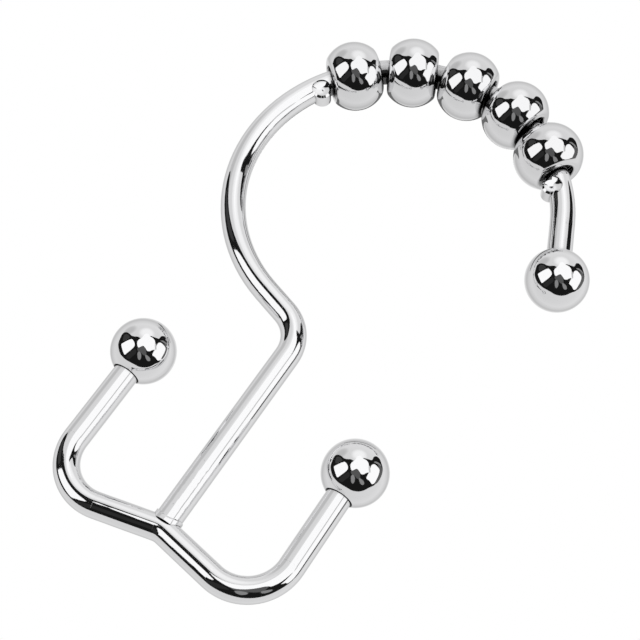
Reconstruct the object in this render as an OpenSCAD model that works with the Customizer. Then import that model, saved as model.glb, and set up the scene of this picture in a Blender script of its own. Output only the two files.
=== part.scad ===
// Roller hook for a shower curtain: one bent wire goes over the rod and carries loose roller beads,
// and a second wire, welded across its foot, makes a curtain hook on each side. Balls close the wire ends.
// The rod runs along Y. X points to the open front of the rod hook and Z points up.
// The origin is the centre of the rod hook's bend.

/* [Wire] */
// Diameter of both wires
wire_d = 3.0; // [2.4:0.1:3.6]
// Diameter that the wire loses by stretching where it is bent
bend_thinning = 0.006; // [0.004:0.002:0.02]

/* [Rod hook] */
// Radius of the rod hook, at the middle of the wire
rod_bend_r = 19.5; // [17:0.5:24]
// Angle through which the rod hook turns, from the shank round to the tip
rod_bend_sweep = 226.5; // [215:0.5:235]
// Straight wire between the end of the bend and the middle of the tip ball
tip_l = 7.7; // [6:0.1:12]
// Radius of the tight bend that leads from the shank to the rod hook
neck_r = 5.0; // [4:0.5:7]
// Angle through which that bend turns away from the shank
neck_sweep = 70; // [62:1:74]
// Straight part of the shank, down to the middle of the lower wire
shank_l = 24.5; // [18:0.5:40]

/* [Double hook] */
// Distance from the shank's axis to each upright arm
arm_reach = 14.0; // [12:0.5:18]
// Height of the ball centres above the middle of the lower wire at the weld
arm_rise = 16.5; // [13:0.5:22]
// Radius of the bend at the foot of each arm
foot_r = 5.4; // [4:0.2:6.4]
// Slope of the lower wire, down from the weld to each side
foot_slope = 11.5; // [6:0.5:16]
// Radius of the slight crest under the weld
crest_r = 3.0; // [2:0.5:6]

/* [End balls] */
// Diameter of the balls on the wire ends
ball_d = 7.5; // [6.5:0.1:9]
// Depth of the hole in a ball, from the ball's surface
ball_seat = 4.0; // [3:0.25:5]
// Gap all round between a wire and its hole
ball_gap = 0.04; // [0.02:0.01:0.1]
// Width of the bevel at the mouth of the hole
ball_bevel = 0.2; // [0.1:0.05:0.3]

/* [Roller beads] */
// Diameter of a bead
bead_d = 8.5; // [8:0.1:10]
// Width of a bead, along the wire
bead_w = 6.1; // [5.4:0.1:6.8]
// Radius of a bead's crown, along the wire
bead_crown_r = 3.8; // [3.5:0.1:4.4]
// Radius of the shoulder between the crown and a bead's end
bead_shoulder_r = 0.8; // [0.65:0.05:0.9]
// Thickness of the formed sheet that a bead is made of
bead_wall = 0.5; // [0.4:0.05:0.7]
// Thickness of the rolled lip at each end of a bead
bead_lip = 0.56; // [0.52:0.02:0.8]
// Gap all round between the wire and the lip of a bead
bead_gap = 0.4; // [0.35:0.05:0.7]
// Place of the foremost bead round the bend, up from the level of the rod's axis
front_bead_angle = 52.5; // [48:0.5:56]
// Space between beads that lie close together, at the inside of the bend
bead_space = 0.3; // [0.15:0.05:0.5]
// Extra space between the two rearmost beads, where the row has its slack
bead_slack = 0.15; // [0:0.05:1.2]

/* [Stop lugs] */
// Diameter of a lug, seen along the rod
lug_d = 2.2; // [1.8:0.1:2.8]
// Width of a lug, along the rod
lug_w = 2.2; // [2:0.1:3]
// Distance that a lug stands out of the wire, towards the rod
lug_proud = 0.8; // [0.5:0.05:1]
// Width of the bevel round both ends of a lug
lug_bevel = 0.25; // [0.1:0.05:0.4]
// Diameter of the punches that pressed the lug out of both sides of the wire
punch_d = 2.5; // [2.3:0.1:3.2]
// Radius of the punches' domed noses
punch_nose_r = 3.0; // [2:0.1:5]
// Thickness left between the two punch marks of a lug
pinch_w = 1.9; // [1.6:0.1:2.2]
// Space between a lug and the bead beside it
lug_space = 0.5; // [0.3:0.05:0.8]

/* [Weld] */
// Height of the collar of flash round the shank's foot, up from the lower wire
flash_h = 0.4; // [0.3:0.05:0.8]
// Distance that the flash stands out of the shank
flash_w = 0.15; // [0.1:0.05:0.4]
// Gap between the shank's coped end and the lower wire
weld_gap = 0.02; // [0.01:0.01:0.05]
// Depth of the cope, from the top of the lower wire
cope_depth = 0.9; // [0.5:0.1:1.2]

/* [Hidden] */
bead_count = 5;
$fn = 48;
// Length of the taper by which a straight wire runs into the thinner wire of a bend
run_taper = 0.05;

wire_r = wire_d / 2;
chrome = [0.80, 0.81, 0.83];
bead_chrome = [0.72, 0.73, 0.75];

// Angles on the bend are measured up from the front, as seen from the -Y side.
rod_bend_start = 180 + neck_sweep;
rod_bend_end = rod_bend_start - rod_bend_sweep;

// The straight after the neck has the length that leaves the shank right under the bend's centre.
neck_run = ((rod_bend_r + neck_r) * cos(neck_sweep) - neck_r) / sin(neck_sweep);
neck_run_top = rod_bend_r * polar(rod_bend_start);
neck_run_foot = neck_run_top + neck_run * [sin(neck_sweep), -cos(neck_sweep)];
shank_top = neck_run_foot[1] - neck_r * sin(neck_sweep);
weld_z = shank_top - shank_l;
cope_z = weld_z + wire_r - cope_depth;

// Tip, from the end of the bend to the ball
tip_angle = rod_bend_end - 90;
tip_root = rod_bend_r * polar(rod_bend_end);
tip_ball_at = tip_root + tip_l * polar(tip_angle);

// Lower wire, from the crest under the weld out to the arm
foot_run = (arm_reach - foot_r - (foot_r + crest_r) * sin(foot_slope)) / cos(foot_slope);
foot_run_root = [crest_r * sin(foot_slope), weld_z - crest_r * (1 - cos(foot_slope))];
foot_run_end = foot_run_root + foot_run * polar(-foot_slope);
foot_centre = foot_run_end + foot_r * polar(90 - foot_slope);
arm_ball_at = [arm_reach, weld_z + arm_rise];

// A wire end, with its taper, stops at the bottom of its ball's hole.
ball_stop = ball_d / 2 - ball_seat;
wire_stop = ball_stop + run_taper;

// A bead's crown runs through its shoulders into its flat ends, which close in on a round lip.
bead_end_w = bead_w / 2 - (bead_lip - bead_wall) / 2;
crown_at = bead_d / 2 - bead_crown_r;
shoulder_w = bead_end_w - bead_shoulder_r;
shoulder_at = crown_at + sqrt(pow(bead_crown_r - bead_shoulder_r, 2) - shoulder_w * shoulder_w);
lip_r = wire_r + bead_gap + bead_lip / 2;
lip_w = bead_w / 2 - bead_lip / 2;
// Each rounding stands this far out of what it runs into, so that the two cross.
round_rise = 0.002;

// Places of the beads and lugs round the bend
bead_half_angle = atan2(bead_w / 2, rod_bend_r - lip_r);
bead_pitch = 2 * bead_half_angle + arc_angle(bead_space);
lug_in = wire_r + lug_proud - lug_d / 2;
lug_lead = asin((bead_w / 2 + lug_space + lug_d / 2) / (rod_bend_r - lug_in));
lug_angles = [bead_angle(1) + lug_lead, bead_angle(bead_count) - lug_lead];

// Point at distance 1 from the origin, in the plane of the wires
function polar(a) = [cos(a), sin(a)];
// Angle that a length takes up at the inside of the bead row
function arc_angle(length) = length / (rod_bend_r - lip_r) * 180 / PI;
// Place of bead n, counted from the rear
function bead_angle(n) = front_bead_angle + (bead_count - n) * bead_pitch
                         + (n == 1 ? arc_angle(bead_slack) : 0);

// Turns a drawing in X and Y up into the plane of the wires, X and Z
module in_wire_plane() rotate([90, 0, 0]) children();

// Straight wire from one point to another. It thins a little towards each end, where it joins a bend,
// and tapers off past it.
module wire_run(from, to, d) {
    run = to - from;
    end_r = d / 2 - bend_thinning / 4;
    taper_r = d / 2 - bend_thinning;
    translate([from[0], from[1], 0])
        rotate([0, 0, atan2(run[1], run[0])])
            rotate([0, 90, 0])
                rotate_extrude()
                    polygon([[0, -run_taper], [taper_r, -run_taper], [end_r, 0], [d / 2, norm(run) / 3],
                             [d / 2, 2 * norm(run) / 3], [end_r, norm(run)],
                             [taper_r, norm(run) + run_taper], [0, norm(run) + run_taper]]);
}

// Wire bent round a centre, from one angle to another
module wire_bend(centre, r, start, end, d) {
    translate([centre[0], centre[1], 0])
        rotate([0, 0, start])
            rotate_extrude(angle = end - start) translate([r, 0]) circle(d = d - bend_thinning);
}

// Everything on the bend is drawn with X pointing away from the bend's centre and Z along the wire.
module on_bend(angle) {
    rotate([0, 0, angle])
        translate([rod_bend_r, 0, 0])
            rotate([-90, 0, 0]) children();
}

// Puts a lug, or its punches, at the side of the wire that faces the rod
module at_lug(angle) rotate([0, 0, angle]) translate([rod_bend_r - lug_in, 0, 0]) children();

// Round lug pressed out of the wire
module stop_lug() {
    face_r = lug_d / 2 - lug_bevel;
    side_w = lug_w / 2 - lug_bevel;
    rotate_extrude()
        polygon([[0, -lug_w / 2], [face_r, -lug_w / 2], [lug_d / 2, -side_w],
                 [lug_d / 2, side_w], [face_r, lug_w / 2], [0, lug_w / 2]]);
}

// The two punches that press a lug out of the wire
module lug_punches() {
    intersection() {
        cylinder(d = punch_d, h = 2 * wire_d, center = true);
        for (side = [-1, 1]) translate([0, 0, side * (pinch_w / 2 + punch_nose_r)]) sphere(r = punch_nose_r);
    }
}

// The lower wire's own form, at a given diameter
module double_hook_form(d) {
    in_wire_plane() {
        wire_bend([0, weld_z - crest_r], crest_r, 90 - foot_slope, 90 + foot_slope, d);
        for (side = [0, 1]) mirror([side, 0, 0]) {
            wire_run(foot_run_root, foot_run_end, d);
            wire_bend(foot_centre, foot_r, 270 - foot_slope, 360, d);
            wire_run([arm_reach, foot_centre[1]], arm_ball_at - [0, wire_stop], d);
        }
    }
}

// Collar of flash that the weld squeezes out, which follows the top of the lower wire
module weld_flash() {
    intersection() {
        translate([0, 0, cope_z]) cylinder(r = wire_r + flash_w, h = cope_depth + wire_r);
        double_hook_form(wire_d + 2 * (weld_gap + flash_h));
    }
}

// Shank, neck, rod hook and tip in one wire, with its stop lugs and the weld's flash
module hook_wire() {
    color(chrome) difference() {
        union() {
            in_wire_plane() {
                wire_run([0, shank_top], [0, cope_z + run_taper], wire_d);
                wire_bend([-neck_r, shank_top], neck_r, 0, neck_sweep, wire_d);
                wire_run(neck_run_foot, neck_run_top, wire_d);
                wire_bend([0, 0], rod_bend_r, rod_bend_end, rod_bend_start, wire_d);
                wire_run(tip_root, tip_ball_at - wire_stop * polar(tip_angle), wire_d);
                for (angle = lug_angles) at_lug(angle) stop_lug();
            }
            weld_flash();
        }
        for (angle = lug_angles) in_wire_plane() at_lug(angle) lug_punches();
        double_hook_form(wire_d + 2 * weld_gap);
    }
}

// Lower wire, bent up on both sides into the front and rear curtain hooks
module double_hook_wire() {
    color(chrome) double_hook_form(wire_d);
}

// Ball with its blind hole pointing down, drawn about its own centre
module end_ball() {
    hole_r = wire_r + ball_gap;
    mouth = sqrt(ball_d * ball_d / 4 - hole_r * hole_r);
    color(chrome) difference() {
        sphere(d = ball_d);
        translate([0, 0, -ball_d]) cylinder(r = hole_r, h = ball_d - ball_stop);
        translate([0, 0, -mouth - ball_bevel])
            cylinder(r1 = hole_r + 2 * ball_bevel, r2 = hole_r, h = 2 * ball_bevel);
    }
}

// Ball at the tip of the rod hook
module tip_ball() {
    in_wire_plane() translate([tip_ball_at[0], tip_ball_at[1], 0])
        rotate([0, 0, tip_angle]) rotate([0, 90, 0]) end_ball();
}

// Ball on one of the two arms, 1 for the front and -1 for the rear
module arm_ball(side) {
    translate([side * arm_ball_at[0], 0, arm_ball_at[1]]) end_ball();
}

// Half section of a bead's outside, or of its inside when it is inset by the sheet's thickness
module bead_form(inset) {
    intersection() {
        translate([crown_at, 0]) circle(r = bead_crown_r - inset);
        bead_wedge();
    }
    for (side = [-1, 1]) translate([shoulder_at, side * shoulder_w])
        circle(r = bead_shoulder_r - inset + round_rise);
    translate([0, inset - bead_end_w]) square([shoulder_at, 2 * (bead_end_w - inset)]);
}

// Wedge from the crown's centre, which ends the crown where the shoulders begin
module bead_wedge() {
    reach = 2 * bead_d;
    slope = atan2(shoulder_w, shoulder_at - crown_at);
    translate([crown_at, 0])
        polygon([[0, 0], reach * polar(-slope), reach * polar(slope)]);
}

// Half section of a bead: sheet of one thickness with a round lip at each end
module bead_section() {
    difference() {
        bead_form(0);
        bead_form(bead_wall);
        translate([0, -bead_w]) square([lip_r, 2 * bead_w]);
    }
    for (side = [-1, 1]) translate([lip_r, side * lip_w]) circle(d = bead_lip);
}

// Hollow bead that turns loosely on the wire
module roller_bead(n) {
    color(bead_chrome) in_wire_plane() on_bend(bead_angle(n)) rotate_extrude() bead_section();
}

hook_wire();
double_hook_wire();
tip_ball();
arm_ball(1);  // front_hook_ball
arm_ball(-1);  // rear_hook_ball
roller_bead(1);  // roller_bead_1
roller_bead(2);  // roller_bead_2
roller_bead(3);  // roller_bead_3
roller_bead(4);  // roller_bead_4
roller_bead(5);  // roller_bead_5
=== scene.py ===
"""Looks of a roller hook for a shower curtain: bright chrome plate in a small white studio."""
import math

import bmesh
import bpy
from mathutils import Matrix, Vector

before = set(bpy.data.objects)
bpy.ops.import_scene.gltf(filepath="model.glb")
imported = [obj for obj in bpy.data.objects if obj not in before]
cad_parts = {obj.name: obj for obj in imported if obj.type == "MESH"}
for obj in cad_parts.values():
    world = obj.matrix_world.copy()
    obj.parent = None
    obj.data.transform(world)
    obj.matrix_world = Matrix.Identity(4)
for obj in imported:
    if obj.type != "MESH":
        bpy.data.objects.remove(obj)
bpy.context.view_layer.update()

# Camera: the direction from the hook to the camera, its roll, its distance and its lens
AZIMUTH = 16.8
ELEVATION = -24.19
ROLL = 35.89
DISTANCE = 0.182
LENS = 90.0
SENSOR = 36.0
AIM = Vector((0.00066, 0.0, -0.01827))

# Studio: the cards hang on a sphere round the hook, the nearer ones in front of the others
ROOM_DISTANCE = 3.0
LAYER_STEP = 0.1
CARD_CUTS = 3
CORNER_STEPS = 4
FLOOR_Z = -0.30
FLOOR_SIZE = 14.0

# Tent round the studio: its size and fineness, and how bright it is straight behind the hook, near there,
# at the sides and towards the camera
TENT_DISTANCE = 4.0
TENT_SPLITS = 6
TENT_LEVELS = [(-1.0, 0.86), (-0.93, 0.74), (-0.80, 0.58), (-0.62, 0.70), (-0.35, 0.80), (0.05, 0.76),
               (1.0, 0.75)]
TENT_BRIGHT_SIDE = (0.95, 0.30)
TENT_SIDE_SHARE = 0.04

# Soft spots on the tent, a ceiling lamp and a shaded corner: the place where a ball mirrors it, right and
# up of the ball's centre, in ball radii, how far it reaches and how wide it is at full strength, in
# degrees, and what it adds
TENT_SPOTS = [((0.12, 0.56), 26, 8, 0.25), ((-0.42, 0.60), 22, 6, -0.20)]

# Painted shade on the plate: how far from a surface another one darkens its colour, and how much of its brightness
# is left there
PAINTED_SHADE_REACH = 0.0012
PAINTED_SHADE_SAMPLES = 12
PAINTED_SHADE_TONES = [(0.42, 0.08), (0.82, 1.0)]
CHROME_BLUE = 1.01

# Outlines of the cards. Each point is the place where a ball mirrors it, right and up of the ball's
# centre, in ball radii.
DARK_ROOM = [(-0.72, 0.17), (-0.68, 0.35), (-0.61, 0.50), (-0.50, 0.545), (-0.40, 0.51), (-0.33, 0.46),
             (-0.24, 0.44), (-0.17, 0.44), (-0.11, 0.43), (-0.06, 0.40), (0.03, 0.40), (0.18, 0.43),
             (0.23, 0.465), (0.32, 0.445), (0.42, 0.41), (0.49, 0.395), (0.55, 0.47), (0.64, 0.47),
             (0.72, 0.39), (0.76, 0.28), (0.79, 0.12), (0.76, -0.04), (0.68, -0.16), (0.58, -0.27),
             (0.51, -0.33), (0.38, -0.38), (0.24, -0.45), (0.08, -0.48), (-0.10, -0.45), (-0.21, -0.39),
             (-0.34, -0.32), (-0.48, -0.24), (-0.58, -0.15), (-0.66, -0.05)]
LEFT_BOX = [(-0.62, 0.17), (-0.57, 0.24), (-0.38, 0.34), (-0.28, 0.34), (-0.22, 0.16), (-0.46, -0.06),
            (-0.50, -0.09), (-0.54, -0.06)]
MIDDLE_BOX = [(-0.14, 0.21), (-0.14, 0.29), (-0.11, 0.34), (-0.06, 0.38), (0.00, 0.43), (0.07, 0.52),
              (0.16, 0.53), (0.22, 0.46), (0.32, 0.40), (0.38, 0.31), (0.39, 0.18), (0.42, 0.14),
              (0.46, 0.24), (0.53, 0.27), (0.60, 0.23), (0.69, 0.10), (0.66, -0.04), (0.59, -0.17),
              (0.53, -0.26),
              (0.46, -0.28), (0.39, -0.18), (0.31, -0.11), (0.34, -0.02), (0.38, 0.05), (0.30, 0.04),
              (0.24, 0.01), (0.16, 0.02), (0.10, 0.11), (0.03, 0.17), (-0.10, 0.12)]
RIGHT_BAND = [(0.66, 0.22), (0.71, 0.22), (0.76, 0.15), (0.78, 0.10), (0.76, -0.03), (0.69, -0.17),
              (0.59, -0.28), (0.52, -0.27), (0.60, -0.16), (0.66, -0.02), (0.68, 0.10)]
BOX_SEAM = [(0.38, 0.22), (0.42, 0.22), (0.43, 0.06), (0.39, 0.06)]
ROOM_LOBE = [(-0.58, 0.30), (-0.56, 0.46), (-0.46, 0.49), (-0.38, 0.40), (-0.46, 0.34)]
ROOM_WALL = [(-0.47, -0.16), (-0.38, -0.05), (-0.20, 0.08), (-0.17, -0.04), (-0.28, -0.14), (-0.38, -0.22)]
ROOM_MIDDLE = [(-0.13, 0.10), (0.00, 0.16), (0.09, 0.12), (0.13, 0.00), (0.12, -0.12), (0.04, -0.10),
               (-0.02, -0.04), (-0.10, 0.00)]
GREY_STREAKS = [
    [(-0.12, -0.03), (-0.07, 0.00), (-0.02, -0.08), (-0.03, -0.20), (-0.08, -0.25), (-0.12, -0.20), (-0.13, -0.10)],
    [(0.10, -0.10), (0.16, -0.12), (0.23, -0.19), (0.24, -0.27), (0.18, -0.29), (0.12, -0.22)],
]
LAMP_GAPS = [[(0.54, 0.33), (0.62, 0.33), (0.72, 0.25), (0.76, 0.17), (0.70, 0.22), (0.60, 0.29)]]

# Painted shadow: a dark strip, seen only in the chrome, that stands for the hook's shadow on a surface behind it; it
# follows the bend behind the hook, right and up of the aim, in metres
PAINTED_SHADOW_DEPTH = 0.027
PAINTED_SHADOW = [(-0.010, 0.021), (-0.003, 0.026), (0.006, 0.028), (0.016, 0.028), (0.026, 0.024), (0.035, 0.016),
        (0.033, 0.013), (0.025, 0.019), (0.015, 0.023), (0.006, 0.023), (-0.002, 0.021), (-0.008, 0.018)]


def view_axes():
    """Right, up and back of a camera at the photograph's viewing angle."""
    azimuth, elevation, roll = (math.radians(a) for a in (AZIMUTH, ELEVATION, ROLL))
    level = Vector((math.cos(azimuth), math.sin(azimuth), 0))
    back = Vector((math.sin(azimuth) * math.cos(elevation), -math.cos(azimuth) * math.cos(elevation),
                   math.sin(elevation)))
    upright = back.cross(level)
    right = level * math.cos(roll) + upright * math.sin(roll)
    return right, back.cross(right), back


RIGHT, UP, BACK = view_axes()


def make_camera():
    """Camera at the photograph's viewing angle, with the hook filling the picture."""
    data = bpy.data.cameras.new("camera")
    data.lens, data.sensor_width = LENS, SENSOR
    data.clip_start, data.clip_end = 0.01, 20
    camera = bpy.data.objects.new("camera", data)
    camera.matrix_world = Matrix.Translation(AIM + BACK * DISTANCE) @ Matrix((RIGHT, UP, BACK)).transposed().to_4x4()
    bpy.context.scene.collection.objects.link(camera)
    bpy.context.scene.camera = camera


def new_material(name):
    """Empty node material, with its nodes, its links and its output."""
    material = bpy.data.materials.new(name)
    material.use_nodes = True
    nodes = material.node_tree.nodes
    nodes.clear()
    return material, nodes, material.node_tree.links, nodes.new("ShaderNodeOutputMaterial")


def glow(name, level):
    """Material of a card that sends out one even level of light."""
    material, nodes, links, output = new_material(name)
    light = nodes.new("ShaderNodeEmission")
    light.inputs["Color"].default_value = (level, level, level, 1)
    links.new(light.outputs[0], output.inputs["Surface"])
    return material


def on_dome(u, v, distance):
    """Point in the studio that a ball at the aim mirrors at (u, v), in ball radii from its centre."""
    w = math.sqrt(1 - u * u - v * v)
    towards = 2 * w * (u * RIGHT + v * UP) + (2 * w * w - 1) * BACK
    return AIM + distance * towards


def rounded(outline):
    """The closed outline as a smooth curve through its points."""
    curve = []
    count = len(outline)
    for n in range(count):
        a, b, c, d = (Vector(outline[(n + k) % count]) for k in (-1, 0, 1, 2))
        for step in range(CORNER_STEPS):
            t = step / CORNER_STEPS
            curve.append(b + (c - a) * t / 2 + (2 * a - 5 * b + 4 * c - d) * t * t / 2
                         + (3 * b - a - 3 * c + d) * t * t * t / 2)
    return curve


def add_mirrored(name, form, material):
    """Stage object of that form, which only mirrors see."""
    mesh = bpy.data.meshes.new(name)
    form.to_mesh(mesh)
    form.free()
    mesh.materials.append(material)
    thing = bpy.data.objects.new(name, mesh)
    thing.visible_camera = False
    thing.visible_diffuse = False
    thing.visible_shadow = False
    bpy.context.scene.collection.objects.link(thing)
    return thing


def add_card(name, outline, place, material):
    """Card with that outline. place gives the spot of a point of its outline."""
    form = bmesh.new()
    form.faces.new([form.verts.new((u, v, 0)) for u, v in rounded(outline)])
    bmesh.ops.triangulate(form, faces=form.faces[:])
    bmesh.ops.subdivide_edges(form, edges=form.edges[:], cuts=CARD_CUTS, use_grid_fill=True)
    for vert in form.verts:
        vert.co = place(vert.co.x, vert.co.y)
    add_mirrored(name, form, material)


def on_layer(layer):
    """Function that places an outline's points on one layer of the studio's sphere."""
    return lambda u, v: on_dome(u, v, ROOM_DISTANCE - LAYER_STEP * layer)


def behind_hook(right, up):
    """Point on the plane of the painted shadow card, right and up of the aim."""
    return AIM + right * RIGHT + up * UP - PAINTED_SHADOW_DEPTH * BACK


def make_studio():
    """Dark room behind the camera, with its soft boxes and the grey things that stand in it, and a dark card that
    paints the hook's shadow behind it into the reflections.
    """
    add_card("dark_room", DARK_ROOM, on_layer(0), glow("room_black", 0.010))
    add_card("room_lobe", ROOM_LOBE, on_layer(1), glow("lobe_grey", 0.045))
    add_card("room_wall", ROOM_WALL, on_layer(1), glow("wall_grey", 0.025))
    add_card("room_middle", ROOM_MIDDLE, on_layer(1), glow("middle_grey", 0.10))
    grey = glow("streak_grey", 0.26)
    for n, outline in enumerate(GREY_STREAKS + LAMP_GAPS):
        add_card(f"room_streak_{n}", outline, on_layer(2), grey)
    add_card("right_band", RIGHT_BAND, on_layer(2), glow("band_grey", 0.12))
    white = glow("box_white", 1.12)
    add_card("left_box", LEFT_BOX, on_layer(3), white)
    add_card("middle_box", MIDDLE_BOX, on_layer(3), white)
    add_card("box_seam", BOX_SEAM, on_layer(4), glow("seam_grey", 0.60))
    # Painted shadow: a dark card, seen only in the chrome, that stands for the hook's shadow on a surface behind it
    add_card("painted_shadow", PAINTED_SHADOW, behind_hook, glow("painted_shadow_grey", 0.16))


def dot_with(nodes, links, place, direction):
    """Cosine of the angle between the looked-up direction and that one."""
    dot = nodes.new("ShaderNodeVectorMath")
    dot.operation = "DOT_PRODUCT"
    dot.inputs[1].default_value = direction.normalized()
    links.new(place.outputs["Object"], dot.inputs[0])
    return dot.outputs["Value"]


def remap(nodes, links, value, low, high, to_low, to_high, smooth=False):
    """Maps one range of values to another."""
    node = nodes.new("ShaderNodeMapRange")
    if smooth:
        node.interpolation_type = "SMOOTHSTEP"
    node.inputs["From Min"].default_value, node.inputs["From Max"].default_value = low, high
    node.inputs["To Min"].default_value, node.inputs["To Max"].default_value = to_low, to_high
    links.new(value, node.inputs["Value"])
    return node.outputs["Result"]


def combine(nodes, links, operation, first, second):
    """One value made from two, by a sum or another operation."""
    node = nodes.new("ShaderNodeMath")
    node.operation = operation
    links.new(first, node.inputs[0])
    links.new(second, node.inputs[1])
    return node.outputs["Value"]


def tent_cloth():
    """Material of the tent: its graded levels, with the soft spots added."""
    material, nodes, links, output = new_material("tent_pale")
    place = nodes.new("ShaderNodeTexCoord")
    wall = nodes.new("ShaderNodeValToRGB")
    ramp = wall.color_ramp
    while len(ramp.elements) < len(TENT_LEVELS):
        ramp.elements.new(0.5)
    for element, (cosine, level) in zip(ramp.elements, TENT_LEVELS):
        element.position = (cosine + 1) / 2
        element.color = (level, level, level, 1)
    towards_camera = dot_with(nodes, links, place, BACK)
    links.new(remap(nodes, links, towards_camera, -1, 1, 0, 1), wall.inputs["Fac"])
    across = dot_with(nodes, links, place, RIGHT * TENT_BRIGHT_SIDE[0] + UP * TENT_BRIGHT_SIDE[1])
    side = remap(nodes, links, across, -1, 1, 1 - TENT_SIDE_SHARE, 1 + TENT_SIDE_SHARE)
    level = combine(nodes, links, "MULTIPLY", wall.outputs["Color"], side)
    for spot, reach, core, added in TENT_SPOTS:
        near = dot_with(nodes, links, place, on_dome(*spot, 1) - AIM)
        edges = (math.cos(math.radians(a)) for a in (reach, core))
        level = combine(nodes, links, "ADD", level, remap(nodes, links, near, *edges, 0, added, True))
    light = nodes.new("ShaderNodeEmission")
    links.new(level, light.inputs["Color"])
    links.new(light.outputs[0], output.inputs["Surface"])
    return material


def make_tent():
    """Pale tent round the studio."""
    form = bmesh.new()
    bmesh.ops.create_icosphere(form, subdivisions=TENT_SPLITS, radius=1)
    tent = add_mirrored("tent", form, tent_cloth())
    tent.location = AIM
    tent.scale = (TENT_DISTANCE, TENT_DISTANCE, TENT_DISTANCE)


def make_world():
    """Plain white world, the same for the camera, for metal and for the floor."""
    world = bpy.data.worlds.new("world")
    bpy.context.scene.world = world
    world.use_nodes = True
    world.node_tree.nodes["Background"].inputs["Color"].default_value = (1, 1, 1, 1)


def make_floor():
    """Plain pale floor far below the hook, which metal doesn't see."""
    bpy.ops.mesh.primitive_plane_add(size=FLOOR_SIZE, location=(0, 0, FLOOR_Z))
    floor = bpy.context.object
    floor.name = "floor"
    material, nodes, links, output = new_material("floor_white")
    paint = nodes.new("ShaderNodeBsdfDiffuse")
    paint.inputs["Color"].default_value = (0.97, 0.97, 0.97, 1)
    links.new(paint.outputs[0], output.inputs["Surface"])
    floor.data.materials.append(material)
    floor.visible_glossy = False


def chrome(name, level, roughness, ripple):
    """Bright chrome plate, with painted shade that darkens its colour in narrow gaps, a fine ripple and a faint
    change of gloss.
    """
    material, nodes, links, output = new_material(name)
    shader = nodes.new("ShaderNodeBsdfPrincipled")
    shader.inputs["Metallic"].default_value = 1.0
    # Painted shade: ambient occlusion darkens the plate's colour where other surfaces are near, in gaps and bead
    # mouths
    shade_probe = nodes.new("ShaderNodeAmbientOcclusion")
    shade_probe.samples = PAINTED_SHADE_SAMPLES
    shade_probe.inputs["Distance"].default_value = PAINTED_SHADE_REACH
    painted_shade_ramp = nodes.new("ShaderNodeValToRGB")
    for element, (openness, share) in zip(painted_shade_ramp.color_ramp.elements, PAINTED_SHADE_TONES):
        element.position = openness
        element.color = (level * share, level * share, level * share * CHROME_BLUE, 1)
    links.new(shade_probe.outputs["AO"], painted_shade_ramp.inputs["Fac"])
    links.new(painted_shade_ramp.outputs["Color"], shader.inputs["Base Color"])
    place = nodes.new("ShaderNodeTexCoord")
    cloud = nodes.new("ShaderNodeTexNoise")
    cloud.inputs["Scale"].default_value = 260
    cloud.inputs["Detail"].default_value = 3
    links.new(place.outputs["Object"], cloud.inputs["Vector"])
    gloss = nodes.new("ShaderNodeMapRange")
    gloss.inputs["From Min"].default_value, gloss.inputs["From Max"].default_value = 0.3, 0.7
    gloss.inputs["To Min"].default_value, gloss.inputs["To Max"].default_value = roughness * 0.6, roughness * 1.4
    links.new(cloud.outputs["Fac"], gloss.inputs["Value"])
    links.new(gloss.outputs["Result"], shader.inputs["Roughness"])
    bump = nodes.new("ShaderNodeBump")
    bump.inputs["Strength"].default_value = 1.0
    bump.inputs["Distance"].default_value = ripple
    links.new(cloud.outputs["Fac"], bump.inputs["Height"])
    links.new(bump.outputs["Normal"], shader.inputs["Normal"])
    links.new(shader.outputs[0], output.inputs["Surface"])
    return material


def dress(names, material):
    """Gives every material slot of these nodes that material."""
    for name in names:
        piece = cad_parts[name]
        for slot in piece.material_slots:
            slot.material = material


make_camera()
make_world()
make_tent()
make_floor()
make_studio()
dress(["hook_wire", "double_hook_wire"], chrome("wire_chrome", 0.86, 0.05, 0.0000003))
dress(["tip_ball", "front_hook_ball", "rear_hook_ball"], chrome("ball_chrome", 0.86, 0.04, 0.000002))
dress([f"roller_bead_{n}" for n in range(1, 6)], chrome("bead_chrome", 0.82, 0.04, 0.000002))

bpy.context.scene.view_settings.view_transform = 'Standard'
